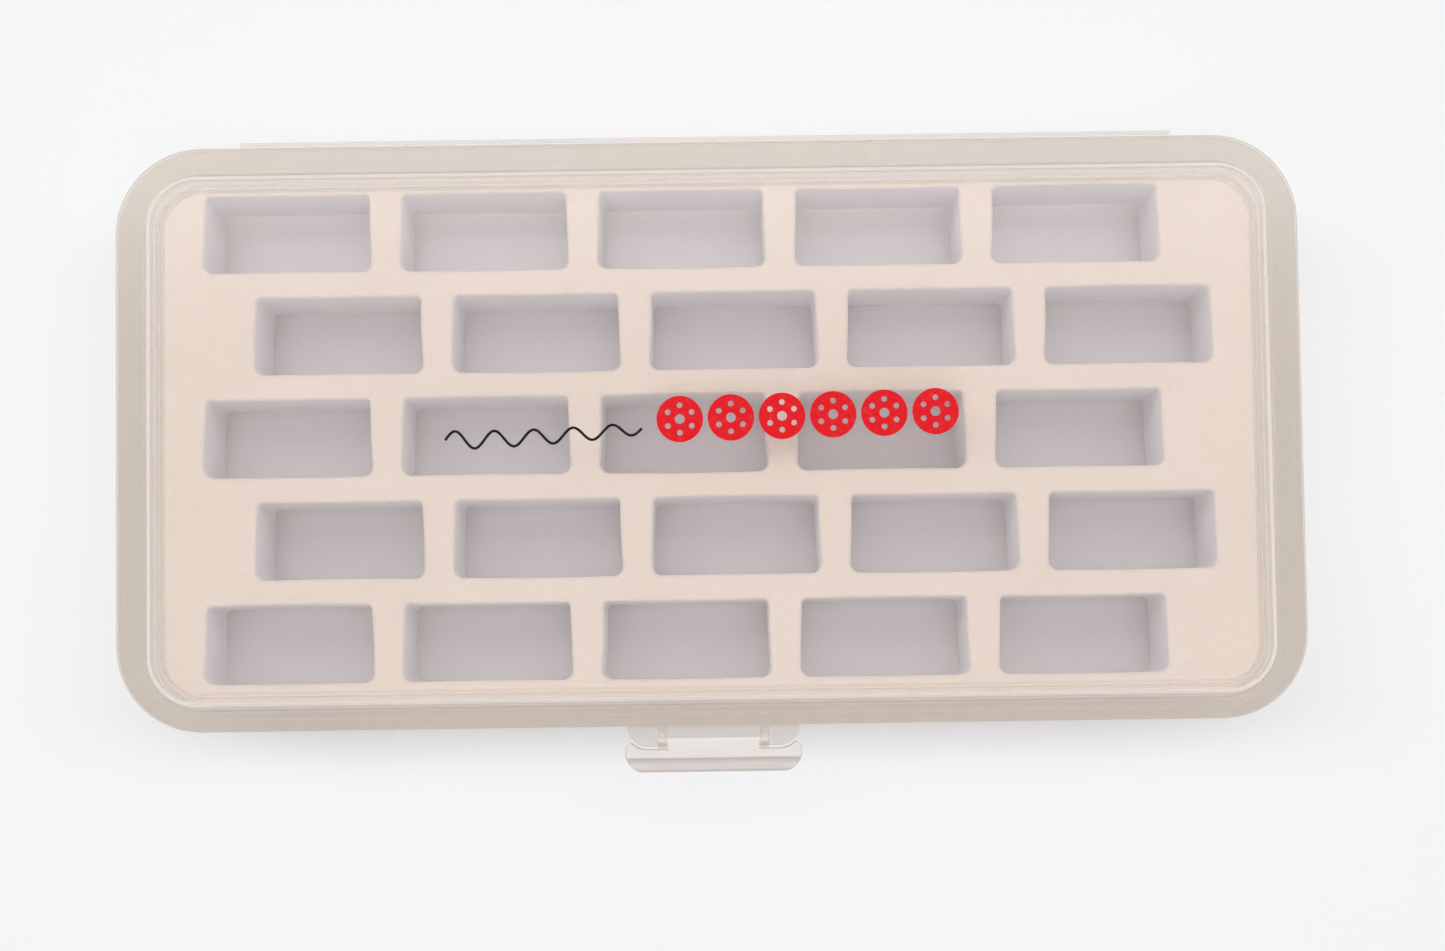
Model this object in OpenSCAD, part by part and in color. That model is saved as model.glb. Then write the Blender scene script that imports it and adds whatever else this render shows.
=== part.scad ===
// Bobbin box: a frosted snap box with a living hinge, a swinging latch and a slotted foam insert.
// Millimetres. +X runs along the box, +Y to the hinge, +Z up. The origin is the centre of the bottom face.

/* [Box] */
// Length of the box over its rims
box_l = 152; // [120:1:220]
// Width of the box over its rims, without latch and hinge
box_w = 75; // [60:0.5:120]
// Radius of the rims at the corners
corner_r = 11; // [9:0.5:16]
// Wall thickness of the base and the lid
wall = 1.5; // [1:0.1:2.2]
// Thickness of the floor of the base
floor_t = 1.5; // [1:0.1:2.2]
// Thickness of the rims
rim_t = 1.4; // [1:0.1:2]
// How far the rims stand out from the base walls at the two ends
rim_end = 2.8; // [2:0.1:4]
// How far the rims stand out from the base walls in front
rim_front = 1.4; // [1:0.1:3]
// How far the rims stand out from the base walls at the back
rim_back = 2.4; // [1:0.1:4]
// How much narrower each base wall stands at the floor than at the rim
base_draft = 0.4; // [0:0.1:1]
// Radius of the edge around the bottom face
bottom_round = 2; // [1:0.25:3]

/* [Lid] */
// Height of the lid, from the underside of its rim to its top
lid_h = 5.9; // [5:0.1:20]
// How far the lid walls stand inside the base walls
lid_setback = 1.6; // [1.2:0.1:3]
// How much each lid wall leans in towards the top
lid_draft = 0.3; // [0:0.1:1]
// Radius of the edge around the raised top
top_round = 0.75; // [0.5:0.25:2]
// Radius of the hollow corner where the lid walls meet the rim
rim_fillet = 0.8; // [0.4:0.1:1.5]
// How far the lid's locating lip reaches into the base, over the foam
lip_depth = 1.2; // [0.8:0.1:4]

/* [Insert] */
// Thickness of the foam
foam_t = 17; // [12:0.5:22]
// Length of a slot, at its front edge
slot_l = 21.8; // [18:0.2:25]
// Width of a slot, front to back
slot_w = 10; // [8:0.2:12.5]
// How much shorter a slot is at its back edge
slot_taper = 0.65; // [0:0.05:1.5]
// Radius of a slot's front corners
slot_front_r = 1.2; // [0.6:0.1:2]
// Radius of a slot's back corners
slot_back_r = 0.5; // [0.2:0.1:1]
// Foam between two slots of a row
slot_web = 3.7; // [2:0.1:8]
// Foam between two rows of slots
row_web = 3.27; // [2:0.01:6]
// How far every second row is shifted
row_shift = 6.6; // [0:0.1:10]
// How far the rows stand behind the middle of the foam
rows_back = 0.6; // [0:0.1:1]

/* [Latch] */
// Length of the latch along the rim
latch_l = 22.5; // [18:0.5:32]
// Length of the catch tab on the base
tab_l = 22; // [17:0.5:30]
// How far the tab stands out from the rim
tab_out = 2.6; // [2:0.1:3.2]
// Thickness of the tab
tab_t = 1.2; // [0.9:0.1:1.4]
// Diameter of the bar that the latch swings on
bar_d = 1; // [0.8:0.1:1.3]
// Length of the bar
bar_l = 14.2; // [12:0.2:17]
// Thickness of each lug that holds the bar
lug_t = 1.15; // [0.9:0.05:1.5]
// Wall of the lugs around the bar
lug_wall = 0.4; // [0.3:0.05:0.6]
// Distance from the rim's edge to the middle of the bar
bar_out = 1.85; // [1.7:0.05:2.4]
// Thickness of the latch plate
plate_t = 1.2; // [0.9:0.1:1.6]
// How far the finger lip stands out from the plate
lip_out = 1.75; // [1:0.25:3]
// Thickness of the finger lip and the hook
lip_t = 1.3; // [1:0.1:1.8]
// How far the hook reaches under the tab
hook_in = 0.45; // [0.2:0.05:0.6]

/* [Hinge] */
// Distance from each end of the box to the living hinge
hinge_end = 16; // [16:0.5:40]
// Distance from the rim's edge to the hinge line
hinge_out = 0.6; // [0.5:0.05:1]
// Thickness of the hinge strip's leaf
leaf_t = 0.8; // [0.5:0.1:1.2]

/* [Hidden] */
// Clearances
rim_gap = 0.1;      // between the closed rims
lip_gap = 0.35;     // around the locating lip
foam_gap = 0.3;     // around the foam
bar_gap = 0.05;     // around the bar, in the lugs
lug_gap = 0.15;     // between the latch and the lugs
tab_gap = 0.35;     // between the latch plate and the tab
hook_gap = 0.25;    // between the hook and the tab
// Foam left beside the outermost slots, at least
end_web = 3;
side_web = 1;
// Heights
base_h = floor_t + foam_t + foam_gap + lip_depth;
lid_z = base_h + rim_gap;
box_h = lid_z + lid_h;
lid_rim_top = lid_z + rim_t;
rim_bottom = base_h - rim_t;
// The base walls, seen from above at the rim
body_l = box_l - 2 * rim_end;
body_w = box_w - rim_front - rim_back;
body_r = corner_r - rim_end;
body_y = (rim_front - rim_back) / 2;
foot_r = body_r - base_draft;
// The lid walls share the corner centres of the base walls
lid_r = body_r - lid_setback;
lid_top_r = lid_r - lid_draft;
lip_r = body_r - wall - lip_gap;
// Foam outline and its slots
foam_in = wall + base_draft + foam_gap;
foam_l = body_l - 2 * foam_in;
foam_w = body_w - 2 * foam_in;
slot_pitch = slot_l + slot_web;
row_pitch = slot_w + row_web;
columns = floor((foam_l - 2 * end_web - row_shift - slot_l) / slot_pitch) + 1;
rows = floor((foam_w - 2 * side_web - slot_w) / row_pitch) + 1;
first_x = -((columns - 1) * slot_pitch + row_shift) / 2;
first_y = (rows - 1) * row_pitch / 2 + rows_back;
// Latch
grip_drop = 0.35;   // from the top of the lugs to the top of the plate
grip_end_r = 1.5;   // radius of the plate's and the finger lip's ends
wing_l = 2;         // length of the two wings that reach back beside the tab
wing_back = 0.9;    // how far they reach behind the plate
front_y = -box_w / 2;
bar_r = bar_d / 2;
lug_r = bar_r + bar_gap + lug_wall;
bar_z = lid_z + lug_r;
plate_in = max(tab_out + tab_gap, bar_out + lug_r + lug_gap);
grip_out = plate_in + plate_t + lip_out;
tab_z = base_h - tab_t;
hook_z = tab_z - hook_gap;
grip_z = hook_z - lip_t;
grip_top = bar_z + lug_r - grip_drop;
arm_l = bar_l - 2 * (lug_t + lug_gap);
tab_corner_r = tab_out;
hinge_l = box_l - 2 * hinge_end;
// Small overlap that joins pieces of one solid, and the reach of a cut past a face
weld = 1;
over = 1;

$fn = 64;

// Sweeps a section around the body's outline. Its x runs outwards from the centres of the corners.
module around() {
    for (side = [0:3]) {
        across = side % 2 == 0 ? body_l : body_w;
        along = side % 2 == 0 ? body_w : body_l;
        rotate([0, 0, 90 * side]) {
            translate([across / 2 - body_r, 0, 0])
                rotate([90, 0, 0]) linear_extrude(along - 2 * body_r, center = true) children();
            translate([across / 2 - body_r, along / 2 - body_r, 0])
                rotate_extrude(angle = 90) children();
        }
    }
}

// A solid block whose edge has the given section, from z0 to z1 in the middle
module block(z0, z1) {
    translate([0, body_y, 0]) {
        around() children();
        translate([-(body_l / 2 - body_r), -(body_w / 2 - body_r), z0])
            cube([body_l - 2 * body_r, body_w - 2 * body_r, z1 - z0]);
    }
}

module rounded_plate(l, w, r, t) {
    translate([-l / 2 + r, -w / 2, 0]) cube([l - 2 * r, w, t]);
    translate([-l / 2, -w / 2 + r, 0]) cube([l, w - 2 * r, t]);
    for (sx = [-1, 1], sy = [-1, 1])
        translate([sx * (l / 2 - r), sy * (w / 2 - r), 0]) cylinder(h = t, r = r);
}

// Outline of the catch tab seen from above, grown by a clearance
module tab_outline(gap) {
    centre_x = tab_l / 2 - tab_corner_r;
    for (side = [-1, 1])
        translate([side * centre_x, front_y]) circle(tab_corner_r + gap);
    translate([-centre_x, front_y - tab_out - gap]) square([2 * centre_x, tab_out + gap + weld]);
    translate([-tab_l / 2 - gap, front_y]) square([tab_l + 2 * gap, weld]);
}

module catch_tab() {
    translate([0, 0, tab_z]) linear_extrude(tab_t)
        intersection() {
            tab_outline(0);
            translate([-box_l / 2, front_y - 2 * tab_out]) square([box_l, 2 * tab_out + weld]);
        }
}

module base_tray() {
    color([0.86, 0.84, 0.83, 0.6])
        difference() {
            union() {
                block(0, base_h) {
                    polygon([
                        [0, 0], [foot_r - bottom_round, 0], [foot_r, bottom_round],
                        [body_r, rim_bottom], [body_r, base_h], [0, base_h]
                    ]);
                    translate([foot_r - bottom_round, bottom_round]) circle(bottom_round);
                }
                translate([0, 0, rim_bottom]) rounded_plate(box_l, box_w, corner_r, rim_t);
                catch_tab();
            }
            block(floor_t, base_h + over)
                polygon([
                    [0, floor_t], [foot_r - wall, floor_t], [body_r - wall, rim_bottom],
                    [body_r - wall, base_h + over], [0, base_h + over]
                ]);
        }
}

// One slot seen from above, with its centre at the origin and its longer edge in front
module slot_outline() {
    front = slot_l / 2;
    back = front - slot_taper / 2;
    polygon([
        [-front + slot_front_r, -slot_w / 2], [front - slot_front_r, -slot_w / 2],
        [front, -slot_w / 2 + slot_front_r], [back, slot_w / 2 - slot_back_r],
        [back - slot_back_r, slot_w / 2], [-back + slot_back_r, slot_w / 2],
        [-back, slot_w / 2 - slot_back_r], [-front, -slot_w / 2 + slot_front_r]
    ]);
    for (side = [-1, 1]) {
        translate([side * (front - slot_front_r), -slot_w / 2 + slot_front_r]) circle(slot_front_r);
        translate([side * (back - slot_back_r), slot_w / 2 - slot_back_r]) circle(slot_back_r);
    }
}

module foam_insert() {
    color([0.93, 0.88, 0.84])
        difference() {
            translate([0, body_y, floor_t]) rounded_plate(foam_l, foam_w, body_r - foam_in, foam_t);
            for (row = [0:rows - 1], column = [0:columns - 1])
                translate([
                    first_x + column * slot_pitch + (row % 2) * row_shift,
                    body_y + first_y - row * row_pitch,
                    floor_t - over
                ])
                    linear_extrude(foam_t + 2 * over) slot_outline();
        }
}

// The strip along the back rim, past the hinge line but short of the opened lid
module living_hinge() {
    color([0.88, 0.86, 0.85, 0.6])
        translate([-hinge_l / 2, box_w / 2, base_h - leaf_t])
            cube([hinge_l, 1.5 * hinge_out, leaf_t]);
}

// A cylinder that lies along X, centred on the origin
module rod(l, r) {
    rotate([0, 90, 0]) cylinder(h = l, r = r, center = true);
}

module lug() {
    rod(lug_t, lug_r);
    translate([-lug_t / 2, 0, -lug_r]) cube([lug_t, bar_out + weld, rim_t]);
}

module raised_top() {
    block(lid_z, box_h) {
        polygon([
            [0, lid_z], [lid_r, lid_z], [lid_r, lid_rim_top], [lid_top_r, box_h - top_round],
            [lid_top_r - top_round, box_h], [0, box_h]
        ]);
        translate([lid_top_r - top_round, box_h - top_round]) circle(top_round);
        difference() {
            translate([lid_r - rim_fillet, lid_rim_top - rim_t]) square([2 * rim_fillet, rim_t + rim_fillet]);
            translate([lid_r + rim_fillet, lid_rim_top + rim_fillet]) circle(rim_fillet);
        }
    }
}

module lid_shell() {
    lip_z = base_h - lip_depth;
    color([0.86, 0.84, 0.83, 0.6]) {
        difference() {
            union() {
                raised_top();
                block(lip_z, lid_rim_top) translate([0, lip_z]) square([lip_r, lid_rim_top - lip_z]);
                translate([0, 0, lid_z]) rounded_plate(box_l, box_w, corner_r, rim_t);
            }
            block(lip_z - over, box_h - wall)
                polygon([
                    [0, lip_z - over], [lid_r - wall, lip_z - over], [lid_r - wall, lid_rim_top],
                    [lid_top_r - wall, box_h - wall], [0, box_h - wall]
                ]);
        }
        difference() {
            for (side = [-1, 1])
                translate([side * (bar_l - lug_t) / 2, front_y - bar_out, bar_z]) lug();
            translate([0, front_y - bar_out, bar_z]) rod(bar_l + 2 * over, bar_r + bar_gap);
        }
    }
}

// The latch seen from above, out to the given distance from the rim's edge
module grip_outline(out) {
    wing_in = plate_in - wing_back;
    difference() {
        translate([-latch_l / 2, front_y - out]) square([latch_l, out - wing_in]);
        tab_outline(tab_gap);
        for (side = [-1, 1])
            translate([side * latch_l / 2, front_y - out]) rotate(side < 0 ? 0 : 90)
                corner_cut(grip_end_r);
        translate([-latch_l / 2 + wing_l, front_y - plate_in]) square([latch_l - 2 * wing_l, plate_in]);
    }
}

// What rounding takes off a square corner at the origin, whose sides run along +X and +Y
module corner_cut(r) {
    difference() {
        translate([-over, -over]) square(r + over);
        translate([r, r]) circle(r);
    }
}

module latch() {
    color([0.88, 0.86, 0.84, 0.85]) {
        translate([0, front_y - bar_out, bar_z]) {
            rod(bar_l, bar_r);
            translate([-arm_l / 2, bar_out - plate_in - plate_t / 2, -bar_r])
                cube([arm_l, plate_in + plate_t / 2 - bar_out, bar_d]);
        }
        translate([0, 0, grip_z]) {
            linear_extrude(grip_top - grip_z) grip_outline(plate_in + plate_t);
            linear_extrude(lip_t) grip_outline(grip_out);
            translate([-arm_l / 2, front_y - plate_in - weld, 0])
                cube([arm_l, weld + plate_in - tab_out + hook_in, lip_t]);
        }
    }
}

base_tray();
foam_insert();
living_hinge();
lid_shell();
latch();
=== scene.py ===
"""Looks of the bobbin box: a frosted box with a slotted foam insert, a latch and a living hinge.

Lengths are written in millimetres and multiplied by MM where they reach Blender.
+X runs along the box, +Y to the hinge, +Z up. The box stands on the floor at z = 0.
"""

import math
import random

import bmesh
import bpy
from mathutils import Matrix, Vector


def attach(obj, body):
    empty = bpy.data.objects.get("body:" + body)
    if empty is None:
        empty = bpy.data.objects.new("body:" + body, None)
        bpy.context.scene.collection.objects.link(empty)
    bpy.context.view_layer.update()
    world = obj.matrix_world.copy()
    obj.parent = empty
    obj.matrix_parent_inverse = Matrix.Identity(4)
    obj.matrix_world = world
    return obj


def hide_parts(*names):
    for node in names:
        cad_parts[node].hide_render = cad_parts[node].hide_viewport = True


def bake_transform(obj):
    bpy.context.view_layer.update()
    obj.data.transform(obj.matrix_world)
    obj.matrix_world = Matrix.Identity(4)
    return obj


MM = 0.001
SHARP_ANGLE = 40  # degrees between two faces past which their shared edge is shaded sharp

# Where the shells' corner arcs are centred, seen from above: half the length, front and back
SHELL = (65.0, -27.9, 26.9)
RIM = (65.0, -26.5, 26.5)

# Base tray
FOOT_R = 7.8
BASE_R = 8.2
RIM_R = 11.0
WALL = 1.5
FLOOR_T = 1.5
RIM_T = 1.4
BASE_H = 20.0
BOTTOM_ROUND = 2.0

# Lid
LID_Z = 20.1
LID_RIM_TOP = 21.5
LID_TOP = 26.0
LID_R = 6.6
LID_TOP_R = 6.3
TOP_ROUND = 0.75
LIP_R = 6.35
LIP_Z = 18.8
PRINT_ROOM = 0.03  # how far the lid's top is lowered, to make room for the print
PRINT_Z = (LID_TOP - PRINT_ROOM + 0.005, LID_TOP - 0.002)  # the print's underside and its top

# Catch tab, latch and its lugs
FRONT_Y = -37.5
TAB_HALF = 11.0
TAB_OUT = 2.6
TAB_T = 1.2
TAB_GAP = 0.35  # room between the tab and the latch
BAR_Y = -39.35
BAR_Z = 21.05
BAR_R = 0.5
BAR_HALF = 7.1
LUG_R = 0.95
LUG_T = 1.15
LUG_EDGE = 0.15
LUG_DROP = 0.1  # how far the lugs stay below the top of the lid's rim
BORE_R = 0.55
ARM_HALF = 5.8
GRIP_HALF = 11.25
GRIP_BACK = FRONT_Y - TAB_OUT - TAB_GAP
PLATE_FRONT = -41.65
GRIP_FRONT = -43.4
GRIP_Z = 17.25
GRIP_TOP = 21.65
LIP_TOP = 18.55
HOOK_BACK = -39.65
WING_BACK = -39.6
END_FRONT_R = 2.3
END_BACK_R = 0.9

# Living hinge
HINGE_HALF = 60.0
HINGE_Z = 20.05
HINGE_REACH = 38.38  # how far back the strip reaches
HINGE_LEAF = 0.3
HINGE_T = 0.22

# Foam insert
FOAM_X = 71.0
FOAM_FRONT = -33.9
FOAM_BACK = 32.9
FOAM_R = 6.0
FOAM_Z = (1.5, 18.5)
FOAM_BOTTOM_EDGE = 0.02
FOAM_TOP_EDGE = 0.45
COLUMNS = 5
ROWS = 5
SLOT_L = 21.8
SLOT_W = 10.0
SLOT_TAPER = 0.65
SLOT_BACK_CUT = 0.6  # how far its corners' rounds reach
SLOT_FRONT_CUT = 1.3
SLOT_BOW = 0.12  # how far a slot's side may bow in or out
SLOT_PITCH = 25.5
ROW_PITCH = 13.27
ROW_SHIFT = 6.6
SLOT_MIDDLE = (0.0, 0.1)

# Print on the lid
THREAD_START = (-33.4, -1.0)
THREAD_L = 24.9
THREAD_W = 0.34
THREAD_WAVES = 5
THREAD_SWING = 1.15
THREAD_CALM = 0.35  # the share by which the waves have flattened at the thread's end
THREAD_LIFT = 1.2
BOBBINS = 6
BOBBIN_FIRST = (-3.7, 1.3)
BOBBIN_STEP = (6.48, 0.11)
BOBBIN_R = 2.95
HUB_R = 0.62
BOBBIN_HOLES = 6
HOLES_RING_R = 1.75
HOLE_R = 0.36

# Frosted plastic. Its veil is the share of what lies behind that it hides
LIGHT_MET = 0.1  # the share of the veil that stops light, so that the box is lit as by scattering walls
SLANT_RISE = 0.7  # the power of the slant by which the veil thickens
LEVEL_SHARE = 0.35  # the share of that thickening that a level face gets
LEVEL = (0.9, 0.995)  # the normal's upright part on the way from a slanting face to a level one
CREST = (0.93, 0.995)  # the same, for the round of the lid's top edge
CREST_HEIGHTS = (25.1, 25.4)  # where that edge begins
CREST_VEIL = 0.45  # how much thicker the veil is there
TOP_HEIGHTS = (22.0, 25.2)  # where the lid's walls run into its top
FLOOR_HEIGHTS = (1.6, 3.0)  # where the tray's floor runs into its walls
TAB_REACH = (FRONT_Y - 0.3, FRONT_Y)  # where the tab runs into the rim
CLOUD_DIP = 0.96  # how dark the cloudy patches are
CLOUD_SPREAD = 0.02  # how much the veil differs from patch to patch
GLOW = 0.4  # the share of the milk that light shines through
GRAIN = 0.005  # how deep the surface's grain is
LUSTRE = 0.15  # how rough its gloss is
SHINE = (0.04, 0.35)  # gloss face on and at a grazing slant

# Foam and ink
FOAM_DARK = (0.815, 0.682, 0.6)
FOAM_LIGHT = (0.865, 0.737, 0.659)
# Painted light: the foam's cut sides are painted paler and cooler, to brighten the shaded slots
FOAM_SIDE_PAINTED_LIGHT = (0.97, 0.925, 0.95)
CELL = 0.42
CELL_DEPTH = 0.12
INK_GRAIN = 0.01

# Studio
FLOOR_HALF = 3000
FLOOR_DARK = (0.87, 0.87, 0.87)
FLOOR_LIGHT = (0.89, 0.89, 0.89)
FLOOR_GAP = 0.05  # keeps the studio floor out of the plane of the box's underside
FLOOR_FADE = (300, 900)  # how far out the studio floor runs into the backdrop
BACKDROP = (0.88, 0.88, 0.88)
ROOM = (0.93, 0.93, 0.93)
ROOM_LIGHT = 0.6
LAMP_TARGET = (0, 0, 10)
PASSES = 24  # how many see-through faces a ray may pass

# Camera. Its distance was chosen. At that distance the rest fits the slots' places in the photograph
PHOTO_WIDTH = 1445
FOCAL_PX = 3102.0
SENSOR = 36.0
CAMERA_DISTANCE = 400.0
CAMERA_TILT = -3.84
CAMERA_ROLL = 0.81
CAMERA_SHIFT = (-1.7, 5.5)


# ---------------------------------------------------------------- outlines and lofts


def ring(centres, radius, z, steps=12):
    """A rounded rectangle at height z: its corner arcs have the given centres and radius."""
    half, front, back = centres
    points = []
    for quarter, (sx, y) in enumerate(((1, back), (-1, back), (-1, front), (1, front))):
        for step in range(steps + 1):
            turn = math.radians(90 * (quarter + step / steps))
            points.append(
                Vector((sx * half + radius * math.cos(turn), y + radius * math.sin(turn), z)) * MM
            )
    return points


def rounding(start, corner, end, steps):
    """Points on a round from start to end, which leaves and arrives along the lines to the corner."""
    points = []
    for step in range(steps + 1):
        t = step / steps
        a, b, c = (1 - t) ** 2, 2 * t * (1 - t) * math.sqrt(0.5), t * t
        points.append([(a * s + b * h + c * e) / (a + b + c) for s, h, e in zip(start, corner, end)])
    return points


def soften(corners, steps=5):
    """Loops for a section with rounded corners.

    Each corner is (centres, radius, z, cut), where cut is how far its round reaches along the section, at
    most half way to the next corner.
    """
    values = [(*centres, radius, z) for centres, radius, z, _ in corners]
    rounded = [values[0]]
    for before, here, after, corner in zip(values, values[1:], values[2:], corners[1:]):
        ends = []
        for other in (before, after):
            reach = math.hypot(other[0] + other[3] - here[0] - here[3], other[4] - here[4])
            share = min(0.5, corner[3] / reach)
            ends.append([h + (o - h) * share for h, o in zip(here, other)])
        rounded += rounding(ends[0], here, ends[1], steps)
    rounded.append(values[-1])
    return [ring(v[:3], v[3], v[4]) for v in rounded]


def shade_smooth(mesh):
    """Shades a mesh smooth but for its sharp edges."""
    mesh.polygons.foreach_set("use_smooth", [True] * len(mesh.polygons))
    mesh.set_sharp_from_angle(angle=math.radians(SHARP_ANGLE))


def mesh_object(name, bm):
    """An object made from a bmesh, which it frees."""
    bmesh.ops.recalc_face_normals(bm, faces=bm.faces)
    mesh = bpy.data.meshes.new(name)
    bm.to_mesh(mesh)
    bm.free()
    shade_smooth(mesh)
    made = bpy.data.objects.new(name, mesh)
    bpy.context.scene.collection.objects.link(made)
    return made


def loft(bm, loops, caps=True):
    """Joins loops of equal length with quads, and closes the two ends if caps is true."""
    rows = [[bm.verts.new(p) for p in loop] for loop in loops]
    for low, high in zip(rows, rows[1:]):
        count = len(low)
        for i in range(count):
            j = (i + 1) % count
            bm.faces.new((low[i], low[j], high[j], high[i]))
    if caps:
        bm.faces.new(rows[0])
        bm.faces.new(rows[-1])
    return rows


def lofted(name, loops):
    bm = bmesh.new()
    loft(bm, loops)
    return mesh_object(name, bm)


def cap_between(bm, tubes):
    """Closes the space between open tubes, each a result of loft, at their first and last loops."""
    for end in (0, -1):
        edges = []
        for rows in tubes:
            loop = rows[end]
            edges += [bm.edges.get((a, b)) for a, b in zip(loop, loop[1:] + loop[:1])]
        bmesh.ops.triangle_fill(bm, use_beauty=True, use_dissolve=False, edges=edges)


def edge_steps(edge, steps=4):
    """(inset, rise) pairs of a quarter-round edge, from the flat face out to the side."""
    turns = [math.pi / 2 * step / steps for step in range(steps + 1)]
    return [(edge * (1 - math.sin(t)), edge * (1 - math.cos(t))) for t in turns]


def edged_levels(low, high, low_edge, high_edge):
    """(inset, place) pairs from low to high of a block whose two ends have quarter-round edges."""
    levels = [(inset, low + rise) for inset, rise in edge_steps(low_edge)]
    levels += [(inset, high - rise) for inset, rise in reversed(edge_steps(high_edge))]
    return levels


def slab(name, outline, low, high, edge):
    """A plate with rounded edges. outline(inset) gives its 2-D outline, pulled in by inset."""
    levels = edged_levels(low, high, edge, edge)
    return lofted(name, [[Vector((x, y, z)) * MM for x, y in outline(inset)] for inset, z in levels])


def bar(name, low, high, edge):
    """A box with rounded edges, between two corners."""
    bm = bmesh.new()
    bmesh.ops.create_cube(bm, size=1)
    for vert in bm.verts:
        vert.co = Vector([(l + h) / 2 + c * (h - l) for l, h, c in zip(low, high, vert.co)]) * MM
    bmesh.ops.bevel(bm, geom=bm.edges[:], offset=edge * MM, segments=4, profile=0.5, affect="EDGES")
    return mesh_object(name, bm)


def rod(name, half, y, z, radius, edge=0.12, sides=40):
    """A round bar along X, centred on x = 0, with softened ends."""
    turns = [2 * math.pi * side / sides for side in range(sides)]
    return lofted(name, [
        [
            Vector((x, y + (radius - inset) * math.cos(t), z + (radius - inset) * math.sin(t))) * MM
            for t in turns
        ]
        for inset, x in edged_levels(-half, half, edge, edge)
    ])


def apply_modifiers(piece):
    bpy.context.view_layer.update()
    evaluated = piece.evaluated_get(bpy.context.evaluated_depsgraph_get())
    mesh = bpy.data.meshes.new_from_object(evaluated)
    piece.modifiers.clear()
    piece.data = mesh


def combine(target, others, operation="UNION"):
    """Unites others with target, or cuts them from it, and deletes them."""
    for other in others:
        modifier = target.modifiers.new("join", "BOOLEAN")
        modifier.operation = operation
        modifier.solver = "EXACT"
        modifier.object = other
    apply_modifiers(target)
    for other in others:
        bpy.data.objects.remove(other)
    return target


def flatten_shading(piece):
    """Keeps flat faces flat where a rounded edge is shaded smooth into them."""
    shade_smooth(piece.data)
    modifier = piece.modifiers.new("normals", "WEIGHTED_NORMAL")
    modifier.keep_sharp = True
    modifier.weight = 100
    apply_modifiers(piece)
    return piece


# ---------------------------------------------------------------- materials


def new_material(name):
    material = bpy.data.materials.new(name)
    material.use_nodes = True
    tree = material.node_tree
    tree.nodes.clear()
    output = tree.nodes.new("ShaderNodeOutputMaterial")
    return material, tree, output


def node(tree, kind, **values):
    """A shader node. Keys name its properties, or with in_ before them its inputs."""
    made = tree.nodes.new(kind)
    for key, value in values.items():
        if key.startswith("in_"):
            made.inputs[key[3:].replace("_", " ")].default_value = value
        else:
            setattr(made, key, value)
    return made


def link(tree, source, target):
    tree.links.new(source, target)


def noise(tree, scale, detail=2.0, rough=0.5, stretch=(1, 1, 1)):
    """Noise in the object's own space, with scale in features per millimetre."""
    place = node(tree, "ShaderNodeTexCoord")
    mapping = node(tree, "ShaderNodeMapping")
    mapping.inputs["Scale"].default_value = [s / MM for s in stretch]
    link(tree, place.outputs["Object"], mapping.inputs["Vector"])
    made = node(tree, "ShaderNodeTexNoise", in_Scale=scale, in_Detail=detail, in_Roughness=rough)
    link(tree, mapping.outputs["Vector"], made.inputs["Vector"])
    return made


def remap(tree, source, low, high, to_low, to_high):
    made = node(tree, "ShaderNodeMapRange")
    for key, value in zip(("From Min", "From Max", "To Min", "To Max"), (low, high, to_low, to_high)):
        made.inputs[key].default_value = value
    link(tree, source, made.inputs["Value"])
    return made.outputs["Result"]


def math_node(tree, operation, a, b, clamp=False):
    made = node(tree, "ShaderNodeMath", operation=operation, use_clamp=clamp)
    for socket, value in zip(made.inputs, (a, b)):
        if isinstance(value, (int, float)):
            socket.default_value = value
        else:
            link(tree, value, socket)
    return made.outputs["Value"]


def axis_mask(tree, axis, low, high):
    """0 below low and 1 above high along an axis of the object, in millimetres."""
    place = node(tree, "ShaderNodeTexCoord")
    split = node(tree, "ShaderNodeSeparateXYZ")
    link(tree, place.outputs["Object"], split.inputs["Vector"])
    return remap(tree, split.outputs[axis], low * MM, high * MM, 0, 1)


def level_mask(tree, low=0.2, high=0.8):
    """0 on upright faces and 1 on level ones, between two values of the normal's upright part."""
    geometry = node(tree, "ShaderNodeNewGeometry")
    split = node(tree, "ShaderNodeSeparateXYZ")
    link(tree, geometry.outputs["Normal"], split.inputs["Vector"])
    return remap(tree, math_node(tree, "ABSOLUTE", split.outputs["Z"], 0), low, high, 0, 1)


def mix_colour(tree, a, b, factor):
    """A colour between a and b. Each is a colour or a socket."""
    made = node(tree, "ShaderNodeMix", data_type="RGBA")
    for key, value in (("A", a), ("B", b)):
        if isinstance(value, tuple):
            made.inputs[key].default_value = (*value, 1)
        else:
            link(tree, value, made.inputs[key])
    link(tree, factor, made.inputs["Factor"])
    return made.outputs["Result"]


def mix_shader(tree, a, b, factor=None):
    """A shader between a and b. Without a socket for its factor, the factor is left to be set."""
    made = node(tree, "ShaderNodeMixShader")
    link(tree, a.outputs[0], made.inputs[1])
    link(tree, b.outputs[0], made.inputs[2])
    if factor is not None:
        link(tree, factor, made.inputs["Fac"])
    return made


def crest_mask(tree):
    """1 on the round of the lid's top edge, and 0 on its level top and on its walls."""
    slanting = math_node(tree, "SUBTRACT", 1.0, level_mask(tree, *CREST))
    return math_node(tree, "MULTIPLY", slanting, axis_mask(tree, "Z", *CREST_HEIGHTS))


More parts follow.
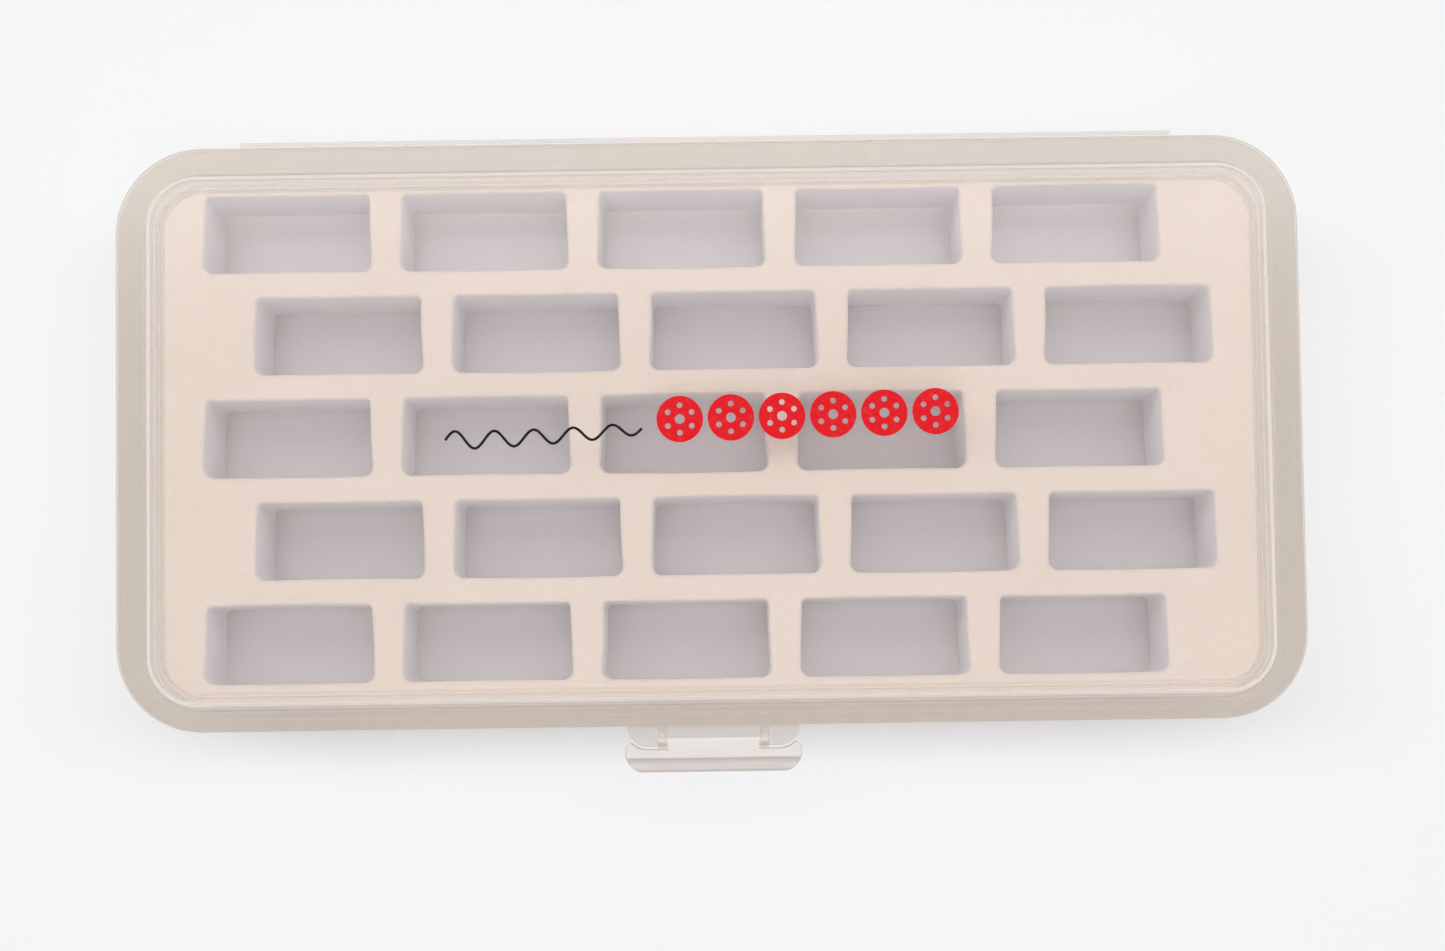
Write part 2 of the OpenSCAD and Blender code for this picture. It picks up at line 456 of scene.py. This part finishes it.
def frosted_shade(tree, cloud, crest, tint, painted_side_tone, painted_crest_glow, painted_low_tone):
    """The colour of frosted plastic, a little darker in patches, with painted light and shade from the
    side, crest and low tints.
    """
    light_patch = remap(tree, cloud.outputs["Fac"], 0.35, 0.65, 0, 1)
    shade = mix_colour(tree, tuple(c * CLOUD_DIP for c in tint), tint, light_patch)
    # Painted light and shade below a height: a paler, bluish tray floor, and a darker lower latch
    if painted_low_tone:
        painted_low_colour, fade_start, fade_end = painted_low_tone
        shade = mix_colour(tree, painted_low_colour, shade, axis_mask(tree, "Z", fade_start, fade_end))
    # Painted light and shade on upright walls: paler on the box, darker on the latch
    if painted_side_tone:
        shade = mix_colour(tree, painted_side_tone, shade, level_mask(tree))
    # Painted glow on the lid's top edge, for light piped up the walls
    if painted_crest_glow:
        shade = mix_colour(tree, shade, painted_crest_glow, crest)
    return shade


def frosted_opacity(tree, cloud, crest, facing, veil, edge_veil, low_veil, top_veil, tab_veil):
    """How much frosted plastic hides of what lies behind it: veil face on, edge_veil at a full slant."""
    slant = math_node(tree, "POWER", facing, SLANT_RISE)
    level_share = remap(tree, level_mask(tree, *LEVEL), 0, 1, 1, LEVEL_SHARE)
    slant = math_node(tree, "MULTIPLY", slant, level_share)
    opacity = math_node(tree, "MULTIPLY_ADD", slant, edge_veil - veil)
    base_veil = opacity.node.inputs[2]
    base_veil.default_value = veil
    if low_veil is not None:
        low = math_node(tree, "SUBTRACT", 1.0, axis_mask(tree, "Z", *FLOOR_HEIGHTS))
        opacity = math_node(tree, "ADD", opacity, math_node(tree, "MULTIPLY", low, low_veil - veil))
    if top_veil is not None:
        link(tree, remap(tree, axis_mask(tree, "Z", *TOP_HEIGHTS), 0, 1, veil, top_veil), base_veil)
    if tab_veil is not None:
        link(tree, remap(tree, axis_mask(tree, "Y", *TAB_REACH), 0, 1, tab_veil, veil), base_veil)
    if crest is not None:
        opacity = math_node(tree, "ADD", opacity, math_node(tree, "MULTIPLY", crest, CREST_VEIL))
    patch = remap(tree, cloud.outputs["Fac"], 0.3, 0.7, -CLOUD_SPREAD, CLOUD_SPREAD)
    return math_node(tree, "ADD", opacity, patch, clamp=True)


def frosted(
    name, tint, veil, edge_veil,
    painted_side_tone=None, painted_crest_glow=None, painted_low_tone=None, low_veil=None, top_veil=None, tab_veil=None,
):
    """Translucent moulded polypropylene: clear face on, milky at a slant, with a fine spark-eroded grain.

    The side tint is painted on upright walls: paler than the level faces as painted light that the walls
    pipe, and darker as painted shade on the latch. The crest tint is a painted glow on the top edge that
    the walls pipe light up to. The low tint is a colour painted below a height, with the two heights
    between which it
    fades out: painted light that brightens a tray's shaded floor, and painted shade low on the latch.
    low_veil is how milky a tray's floor is, top_veil a lid's top, and tab_veil what stands out in front of
    the rim.
    """
    material, tree, output = new_material(name)
    cloud = noise(tree, 0.045, 3.0)
    speck = noise(tree, 2.6, 2.0, 0.6)
    bump = node(tree, "ShaderNodeBump", in_Strength=1.0, in_Distance=GRAIN * MM)
    link(tree, speck.outputs["Fac"], bump.inputs["Height"])
    crest = crest_mask(tree) if painted_crest_glow else None
    facing = node(tree, "ShaderNodeLayerWeight", in_Blend=0.5).outputs["Facing"]
    shade = frosted_shade(tree, cloud, crest, tint, painted_side_tone, painted_crest_glow, painted_low_tone)
    opacity = frosted_opacity(tree, cloud, crest, facing, veil, edge_veil, low_veil, top_veil, tab_veil)

    body = node(tree, "ShaderNodeBsdfPrincipled", in_Roughness=0.5, in_IOR=1.49)
    body.inputs["Specular IOR Level"].default_value = 0.0
    back = node(tree, "ShaderNodeBsdfTranslucent")
    for shader, key in ((body, "Base Color"), (back, "Color")):
        link(tree, shade, shader.inputs[key])
        link(tree, bump.outputs["Normal"], shader.inputs["Normal"])
    milk = mix_shader(tree, body, back)
    milk.inputs["Fac"].default_value = GLOW

    path = node(tree, "ShaderNodeLightPath")
    lighting = math_node(tree, "MAXIMUM", path.outputs["Is Shadow Ray"], path.outputs["Is Diffuse Ray"])
    passing = remap(tree, lighting, 0, 1, 1, LIGHT_MET)
    clear = node(tree, "ShaderNodeBsdfTransparent")
    wall = mix_shader(tree, clear, milk, math_node(tree, "MULTIPLY", opacity, passing))

    gloss = node(tree, "ShaderNodeBsdfGlossy", in_Roughness=LUSTRE)
    link(tree, bump.outputs["Normal"], gloss.inputs["Normal"])
    inside = node(tree, "ShaderNodeNewGeometry").outputs["Backfacing"]
    shine = remap(tree, math_node(tree, "POWER", facing, 5.0), 0, 1, *SHINE)
    shine = math_node(tree, "MULTIPLY", shine, remap(tree, inside, 0, 1, 1, 0))
    surface = mix_shader(tree, wall, gloss, math_node(tree, "MULTIPLY", shine, passing))
    link(tree, surface.outputs[0], output.inputs["Surface"])
    return material


def foam_material():
    """Closed-cell foam: fine cells, slightly uneven, with a soft colour drift. Its cut sides are painted
    paler and cooler, as painted light in the shaded slots.
    """
    material, tree, output = new_material("cell_foam")
    place = node(tree, "ShaderNodeTexCoord")
    cells = node(tree, "ShaderNodeTexVoronoi", in_Scale=1 / (CELL * MM), in_Randomness=1.0)
    link(tree, place.outputs["Object"], cells.inputs["Vector"])
    fine = noise(tree, 3.2, 3.0, 0.6)
    drift = noise(tree, 0.05, 2.0)
    tone = math_node(
        tree, "ADD",
        remap(tree, drift.outputs["Fac"], 0.3, 0.7, 0.1, 0.7),
        remap(tree, fine.outputs["Fac"], 0.3, 0.7, -0.2, 0.3),
        clamp=True,
    )
    colour = mix_colour(tree, FOAM_DARK, FOAM_LIGHT, tone)
    # Painted light: upright cut sides take the paler, cooler colour
    colour = mix_colour(tree, FOAM_SIDE_PAINTED_LIGHT, colour, level_mask(tree))
    height = math_node(tree, "ADD", cells.outputs["Distance"], fine.outputs["Fac"])
    bump = node(tree, "ShaderNodeBump", in_Strength=0.6, in_Distance=CELL_DEPTH * MM)
    link(tree, height, bump.inputs["Height"])
    foam = node(tree, "ShaderNodeBsdfPrincipled", in_Roughness=0.92, in_IOR=1.4)
    foam.inputs["Specular IOR Level"].default_value = 0.25
    foam.inputs["Sheen Weight"].default_value = 0.08
    foam.inputs["Sheen Roughness"].default_value = 0.6
    link(tree, colour, foam.inputs["Base Color"])
    link(tree, bump.outputs["Normal"], foam.inputs["Normal"])
    link(tree, foam.outputs[0], output.inputs["Surface"])
    return material


def ink(name, colour, thin):
    """Pad-printed ink with slightly uneven cover. thin is its colour where little of it lies."""
    material, tree, output = new_material(name)
    cover = noise(tree, 1.6, 3.0, 0.6)
    shade = mix_colour(tree, thin, colour, remap(tree, cover.outputs["Fac"], 0.3, 0.5, 0, 1))
    bump = node(tree, "ShaderNodeBump", in_Strength=0.5, in_Distance=INK_GRAIN * MM)
    link(tree, cover.outputs["Fac"], bump.inputs["Height"])
    paint = node(tree, "ShaderNodeBsdfPrincipled", in_Roughness=0.5, in_IOR=1.5)
    paint.inputs["Specular IOR Level"].default_value = 0.04
    link(tree, shade, paint.inputs["Base Color"])
    link(tree, bump.outputs["Normal"], paint.inputs["Normal"])
    link(tree, paint.outputs[0], output.inputs["Surface"])
    return material


def stage_material():
    """A pale matte floor. Far out, the camera sees it in the backdrop's colour."""
    material, tree, output = new_material("pale_floor")
    grain = noise(tree, 0.02, 2.0)
    shade = mix_colour(tree, FLOOR_DARK, FLOOR_LIGHT, grain.outputs["Fac"])
    matte = node(tree, "ShaderNodeBsdfDiffuse")
    link(tree, shade, matte.inputs["Color"])
    place = node(tree, "ShaderNodeTexCoord")
    reach = node(tree, "ShaderNodeVectorMath", operation="LENGTH")
    link(tree, place.outputs["Object"], reach.inputs[0])
    far = remap(tree, reach.outputs["Value"], FLOOR_FADE[0] * MM, FLOOR_FADE[1] * MM, 0, 1)
    rays = node(tree, "ShaderNodeLightPath")
    seen_far = math_node(tree, "MULTIPLY", far, rays.outputs["Is Camera Ray"])
    backdrop = node(tree, "ShaderNodeEmission")
    backdrop.inputs["Color"].default_value = (*BACKDROP, 1)
    surface = mix_shader(tree, matte, backdrop, seen_far)
    link(tree, surface.outputs[0], output.inputs["Surface"])
    return material


# ---------------------------------------------------------------- pieces


def make_base():
    base = lofted("base_shell", soften([
        (SHELL, FOOT_R - BOTTOM_ROUND - 1, 0.0, 0),
        (SHELL, FOOT_R, 0.0, BOTTOM_ROUND),
        (SHELL, BASE_R, BASE_H - RIM_T, 0.35),
        (RIM, RIM_R, BASE_H - RIM_T, 0.3),
        (RIM, RIM_R, BASE_H, 0.35),
        (SHELL, BASE_R - WALL, BASE_H, 0.2),
        (SHELL, FOOT_R - WALL, FLOOR_T, 0.3),
        (SHELL, FOOT_R - WALL - 2, FLOOR_T, 0),
    ]))
    tab = slab("tab", tab_outline, BASE_H - TAB_T, BASE_H, edge=0.25)
    return flatten_shading(combine(base, [tab]))


def tab_outline(inset, steps=12):
    """The catch tab from above: its front corners are arcs, and its back runs into the rim."""
    back = FRONT_Y + 1
    radius = TAB_OUT - inset
    centre = TAB_HALF - TAB_OUT
    points = [(TAB_HALF - inset, back), (-TAB_HALF + inset, back)]
    for side, start in ((-1, 180), (1, 270)):
        for step in range(steps + 1):
            turn = math.radians(start + 90 * step / steps)
            points.append((side * centre + radius * math.cos(turn), FRONT_Y + radius * math.sin(turn)))
    return points


def make_lid():
    top = LID_TOP - PRINT_ROOM
    lid = lofted("lid_cover", soften([
        (SHELL, LID_TOP_R - TOP_ROUND - 1, top, 0),
        (SHELL, LID_TOP_R, top, TOP_ROUND),
        (SHELL, LID_R, LID_RIM_TOP, 0.8),
        (RIM, RIM_R, LID_RIM_TOP, 0.35),
        (RIM, RIM_R, LID_Z, 0.3),
        (SHELL, LIP_R, LID_Z, 0.1),
        (SHELL, LIP_R, LIP_Z, 0.3),
        (SHELL, LID_R - WALL, LIP_Z, 0.3),
        (SHELL, LID_TOP_R - WALL, LID_TOP - WALL, 0.5),
        (SHELL, LID_TOP_R - WALL - 2, LID_TOP - WALL, 0),
    ]))
    lugs = [make_lug(side) for side in (-1, 1)]
    combine(lid, lugs)
    bore = rod("bore", BAR_HALF + 1, BAR_Y, BAR_Z, BORE_R)
    return flatten_shading(combine(lid, [bore], "DIFFERENCE"))


def make_lug(side, steps=20):
    """A lug that holds the latch's bar: a round eye with a gusset back into the rim."""
    centre = side * (BAR_HALF - LUG_T / 2)
    root = FRONT_Y + 1

    def outline(inset):
        radius = LUG_R - inset
        points = [(root, LID_RIM_TOP - LUG_DROP - inset), (root, LID_Z + inset)]
        for step in range(steps + 1):
            turn = math.radians(270 - 180 * step / steps)
            points.append((BAR_Y + radius * math.cos(turn), BAR_Z + radius * math.sin(turn)))
        return points

    levels = edged_levels(centre - LUG_T / 2, centre + LUG_T / 2, LUG_EDGE, LUG_EDGE)
    return lofted("lug", [[Vector((x, y, z)) * MM for y, z in outline(inset)] for inset, x in levels])


def make_latch():
    grip = make_grip()
    root = GRIP_BACK - 0.5
    arm = bar("arm", (-ARM_HALF, root, BAR_Z - BAR_R), (ARM_HALF, BAR_Y, BAR_Z + BAR_R), edge=0.15)
    hook = bar("hook", (-ARM_HALF, root, GRIP_Z), (ARM_HALF, HOOK_BACK, LIP_TOP), edge=0.2)
    pin = rod("pin", BAR_HALF, BAR_Y, BAR_Z, BAR_R)
    return flatten_shading(combine(grip, [arm, hook, pin]))


def corner_fall(x, radius):
    """How far a rounded end of the grip falls back at x."""
    over = min(radius, max(0.0, abs(x) - (GRIP_HALF - radius)))
    return radius - math.sqrt(radius * radius - over * over)


def wing_reach(x):
    """How far the grip reaches back beside the tab at x. It follows the tab's rounded corner at a gap."""
    clear = TAB_OUT + TAB_GAP
    aside = min(clear, max(0.0, abs(x) - (TAB_HALF - TAB_OUT)))
    beside_tab = FRONT_Y - math.sqrt(clear * clear - aside * aside)
    return min(WING_BACK, beside_tab) - GRIP_BACK


def make_grip(steps=18):
    """The latch plate and its finger lip: a section lofted along X. Its ends are rounded and reach back."""
    edge = 0.3
    outline = round_section([
        (GRIP_BACK, GRIP_TOP, 0.3), (PLATE_FRONT, GRIP_TOP, 0.45), (PLATE_FRONT, LIP_TOP, 0.8),
        (GRIP_FRONT, LIP_TOP, 0.5), (GRIP_FRONT, GRIP_Z, 0.5), (GRIP_BACK, GRIP_Z, 0.3),
    ])
    middle = (GRIP_BACK + PLATE_FRONT) / 2, (GRIP_Z + GRIP_TOP) / 2
    # Places along X: round the tab's corner, then round the grip's end
    half = [TAB_HALF - TAB_OUT + 0.2 * step for step in range(6)]
    turns = [math.pi / 2 * step / steps for step in range(3, steps + 1)]
    half += [GRIP_HALF - END_FRONT_R + END_FRONT_R * math.sin(t) for t in turns]
    loops = []
    for x in [-v for v in reversed(half)] + half:
        over = max(0.0, abs(x) - (GRIP_HALF - edge))
        inset = edge - math.sqrt(max(0.0, edge * edge - over * over))
        loop = []
        for y, z in outline:
            z += inset if z < middle[1] else -inset
            if y > middle[0]:
                y += wing_reach(x) - corner_fall(x, END_BACK_R)
            y = max(y, GRIP_FRONT + corner_fall(x, END_FRONT_R))
            loop.append(Vector((x, y, z)) * MM)
        loops.append(loop)
    return lofted("latch_grip", loops)


def round_section(corners, steps=5):
    """Rounds a closed 2-D section whose corners are (y, z, cut)."""
    points = []
    count = len(corners)
    for i, (y, z, cut) in enumerate(corners):
        ends = []
        for other in (corners[i - 1], corners[(i + 1) % count]):
            reach = math.hypot(other[0] - y, other[1] - z)
            share = min(0.45, cut / reach)
            ends.append((y + (other[0] - y) * share, z + (other[1] - z) * share))
        points += rounding(ends[0], (y, z), ends[1], steps)
    return points


def make_hinge(steps=24):
    """The living hinge: a thin strip that loops from the base's rim to the lid's."""
    rim_y = FRONT_Y * -1
    reach = HINGE_REACH - rim_y
    inside, outside = [], []
    for step in range(steps + 1):
        turn = math.pi * (step / steps - 0.5)
        y = rim_y + reach * math.cos(turn)
        outside.append((y, HINGE_Z + HINGE_LEAF * math.sin(turn)))
        inside.append((y - HINGE_T * math.cos(turn), HINGE_Z + (HINGE_LEAF - HINGE_T) * math.sin(turn)))
    section = outside + inside[::-1]
    ends = [[Vector((x, y, z)) * MM for y, z in section] for x in (-HINGE_HALF, HINGE_HALF)]
    return lofted("hinge_strip", ends)


def slot_loop(centre, grow, bows, steps=6, side_steps=8):
    """One slot's outline, grown by grow: longer in front, with each side bowed by its value in bows."""
    front = SLOT_L / 2 + grow
    back = front - SLOT_TAPER / 2
    half = SLOT_W / 2 + grow
    corners = (
        (back, half, SLOT_BACK_CUT), (-back, half, SLOT_BACK_CUT),
        (-front, -half, SLOT_FRONT_CUT), (front, -half, SLOT_FRONT_CUT),
    )
    points = []
    for i, (x, y, cut) in enumerate(corners):
        cut = cut + grow
        ends = []
        for ox, oy, _ in (corners[i - 1], corners[(i + 1) % 4]):
            reach = math.hypot(ox - x, oy - y)
            ends.append((x + (ox - x) * cut / reach, y + (oy - y) * cut / reach))
        points += rounding(ends[0], (x, y), ends[1], steps)
        following = corners[(i + 1) % 4]
        start = points[-1]
        reach = math.hypot(following[0] - x, following[1] - y)
        share = 1 - (following[2] + grow) / reach
        end = (x + (following[0] - x) * share, y + (following[1] - y) * share)
        for step in range(1, side_steps):
            t = step / side_steps
            bow = bows[i] * math.sin(math.pi * t)
            across = (1, 0) if i % 2 else (0, 1)
            points.append([s + (e - s) * t + bow * n for s, e, n in zip(start, end, across)])
    return [(centre[0] + x, centre[1] + y) for x, y in points]


def make_foam():
    """The foam insert: a rounded block with die-cut slots. Its top edges are rounded."""
    dice = random.Random(11)
    bm = bmesh.new()
    low, high = FOAM_Z
    outer_centres = (FOAM_X - FOAM_R, FOAM_FRONT + FOAM_R, FOAM_BACK - FOAM_R)
    levels = edged_levels(low, high, FOAM_BOTTOM_EDGE, FOAM_TOP_EDGE)
    outer = loft(bm, [ring(outer_centres, FOAM_R - inset, z) for inset, z in levels], caps=False)
    holes = []
    for row in range(ROWS):
        for column in range(COLUMNS):
            x = SLOT_MIDDLE[0] + (column - (COLUMNS - 1) / 2) * SLOT_PITCH
            x += ROW_SHIFT * (row % 2 - 0.5)
            y = SLOT_MIDDLE[1] - (row - (ROWS - 1) / 2) * ROW_PITCH
            bows = [dice.uniform(-SLOT_BOW, SLOT_BOW) for _ in range(4)]
            loops = []
            for inset, z in levels:
                loops.append([Vector((px, py, z)) * MM for px, py in slot_loop((x, y), inset, bows)])
            holes.append(loft(bm, loops, caps=False))
    cap_between(bm, [outer, *holes])
    return flatten_shading(mesh_object("foam_block", bm))


def make_thread(steps=160):
    """Print: a thin waving thread, that runs towards the bobbins."""
    left, right = [], []
    for step in range(steps + 1):
        t = step / steps
        swing = THREAD_SWING * (1 - THREAD_CALM * t)
        turn = 2 * math.pi * THREAD_WAVES * t
        x = THREAD_START[0] + THREAD_L * t
        y = THREAD_START[1] + swing * math.sin(turn) + THREAD_LIFT * t * t
        dy = (swing * math.cos(turn) * 2 * math.pi * THREAD_WAVES + 2 * THREAD_LIFT * t) / THREAD_L
        across = Vector((-dy, 1)).normalized() * THREAD_W / 2
        left.append((x + across.x, y + across.y))
        right.append((x - across.x, y - across.y))
    outline = left + right[::-1]
    bm = bmesh.new()
    rows = loft(bm, [[Vector((x, y, z)) * MM for x, y in outline] for z in PRINT_Z], caps=False)
    last = len(outline) - 1
    for row in rows:
        for i in range(steps):
            bm.faces.new((row[i], row[i + 1], row[last - 1 - i], row[last - i]))
    return mesh_object("print_thread", bm)


def circle(centre, radius, z, sides):
    """A circle's points at height z."""
    turns = [2 * math.pi * side / sides for side in range(sides)]
    return [
        Vector((centre[0] + radius * math.cos(t), centre[1] + radius * math.sin(t), z)) * MM
        for t in turns
    ]


def make_bobbins():
    """Print: a row of bobbins seen from the end, each with a middle hole and a ring of small ones."""
    bm = bmesh.new()
    for i in range(BOBBINS):
        centre = (BOBBIN_FIRST[0] + i * BOBBIN_STEP[0], BOBBIN_FIRST[1] + i * BOBBIN_STEP[1])
        circles = [(centre, BOBBIN_R, 64), (centre, HUB_R, 24)]
        for k in range(BOBBIN_HOLES):
            turn = math.radians(360 / BOBBIN_HOLES * (k + 0.5))
            hole = (centre[0] + HOLES_RING_R * math.cos(turn), centre[1] + HOLES_RING_R * math.sin(turn))
            circles.append((hole, HOLE_R, 16))
        walls = []
        for middle, radius, sides in circles:
            loops = [circle(middle, radius, z, sides) for z in PRINT_Z]
            walls.append(loft(bm, loops, caps=False))
        cap_between(bm, walls)
    return mesh_object("print_bobbins", bm)


# ---------------------------------------------------------------- stage, light and camera


def make_stage():
    """A floor, and a world that lights the box as a room does but shows the camera the backdrop."""
    bm = bmesh.new()
    bmesh.ops.create_grid(bm, x_segments=1, y_segments=1, size=FLOOR_HALF * MM)
    floor = mesh_object("floor", bm)
    floor.location.z = -FLOOR_GAP * MM
    floor.data.materials.append(stage_material())

    world = bpy.data.worlds.new("studio")
    bpy.context.scene.world = world
    world.use_nodes = True
    tree = world.node_tree
    room = tree.nodes["Background"]
    room.inputs["Color"].default_value = (*ROOM, 1)
    room.inputs["Strength"].default_value = ROOM_LIGHT
    backdrop = node(tree, "ShaderNodeBackground", in_Strength=1)
    backdrop.inputs["Color"].default_value = (*BACKDROP, 1)
    rays = node(tree, "ShaderNodeLightPath")
    seen = mix_shader(tree, room, backdrop, rays.outputs["Is Camera Ray"])
    link(tree, seen.outputs[0], tree.nodes["World Output"].inputs["Surface"])


def soft_light(name, place, size, power):
    """A lamp with a soft edge, turned to the box."""
    data = bpy.data.lights.new(name, "AREA")
    data.shape = "RECTANGLE"
    data.size, data.size_y = (s * MM for s in size)
    data.energy = power
    lamp = bpy.data.objects.new(name, data)
    bpy.context.scene.collection.objects.link(lamp)
    lamp.location = Vector(place) * MM
    lamp.rotation_euler = (Vector(LAMP_TARGET) - Vector(place)).to_track_quat("-Z", "Y").to_euler()


def make_lights():
    soft_light("window", (0, 230, 760), (900, 200), 1.75)
    soft_light("left_key", (-800, 300, 900), (400, 400), 1.45)
    soft_light("right_fill", (800, 200, 900), (400, 400), 1.1)
    soft_light("front_fill", (0, -300, 860), (600, 300), 1.45)


def make_camera():
    """The camera stands over the front of the box and looks almost straight down."""
    data = bpy.data.cameras.new("camera")
    data.sensor_width = SENSOR
    data.lens = FOCAL_PX / PHOTO_WIDTH * SENSOR
    data.clip_start = 0.01
    camera = bpy.data.objects.new("camera", data)
    bpy.context.scene.collection.objects.link(camera)
    tilt = Matrix.Rotation(math.radians(CAMERA_TILT), 3, "X")
    view = tilt @ Matrix.Rotation(math.radians(CAMERA_ROLL), 3, "Z")
    target = Vector((*SLOT_MIDDLE, FOAM_Z[1]))
    shift = Vector((*CAMERA_SHIFT, -CAMERA_DISTANCE))
    turned = view.transposed()
    camera.matrix_world = Matrix.Translation((target - turned @ shift) * MM) @ turned.to_4x4()
    bpy.context.scene.camera = camera


# ---------------------------------------------------------------- the whole


def dress(piece, material, body, slot_name, *nodes):
    """Gives a piece its material and body, and hides the nodes that it replaces. slot_name is not used."""
    piece.data.materials.clear()
    piece.data.materials.append(material)
    if body:
        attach(piece, body)
    if nodes:
        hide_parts(*nodes)


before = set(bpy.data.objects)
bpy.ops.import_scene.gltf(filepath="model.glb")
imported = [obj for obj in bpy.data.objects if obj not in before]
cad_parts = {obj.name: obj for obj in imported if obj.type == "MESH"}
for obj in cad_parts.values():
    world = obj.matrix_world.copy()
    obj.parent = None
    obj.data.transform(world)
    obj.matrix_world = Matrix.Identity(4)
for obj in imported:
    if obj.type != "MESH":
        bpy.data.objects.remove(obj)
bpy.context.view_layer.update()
make_camera()

# The base's side tint paints its walls paler as painted light, and its low tint paints the tray's floor
# paler and bluish, as painted light in the shaded slots
dress(make_base(), frosted(
    "base_plastic", tint=(0.57, 0.49, 0.41), veil=0.4, edge_veil=0.6,
    painted_side_tone=(0.92, 0.83, 0.755), painted_low_tone=((0.98, 0.93, 0.965), 2.0, 4.5), low_veil=0.6, tab_veil=0.2,
), "base", "frosted_plastic", "base_tray")
# The lid's side tint paints its walls paler as painted light, and its crest tint paints a glow on its top
# edge
dress(make_lid(), frosted(
    "lid_plastic", tint=(0.61, 0.525, 0.445), veil=0.3, edge_veil=0.6,
    painted_side_tone=(0.94, 0.855, 0.78), painted_crest_glow=(1.0, 0.96, 0.91), top_veil=0.06,
), "lid", "frosted_lid", "lid_shell")
# The latch's side and low tints are painted shade: darker upright faces and a darker lower part
dress(make_latch(), frosted(
    "latch_plastic", tint=(0.93, 0.885, 0.85), veil=0.7, edge_veil=0.92,
    painted_side_tone=(0.60, 0.54, 0.50), painted_low_tone=((0.68, 0.62, 0.58), 18.8, 20.6),
), "latch", "milky_plastic", "latch")
hinge = make_hinge()
web = frosted("hinge_web", tint=(0.82, 0.77, 0.73), veil=0.3, edge_veil=0.6)
dress(hinge, web, None, "hinge_plastic", "living_hinge")
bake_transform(hinge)
foam = make_foam()
dress(foam, foam_material(), "base", "foam", "foam_insert")
black = ink("black_ink", (0.012, 0.011, 0.012), thin=(0.03, 0.028, 0.028))
dress(make_thread(), black, "lid", "frosted_lid")
red = ink("red_ink", (0.72, 0.012, 0.018), thin=(0.75, 0.03, 0.035))
dress(make_bobbins(), red, "lid", "frosted_lid")

make_stage()
make_lights()
bpy.context.scene.view_settings.view_transform = "Standard"
bpy.context.scene.cycles.transparent_max_bounces = PASSES
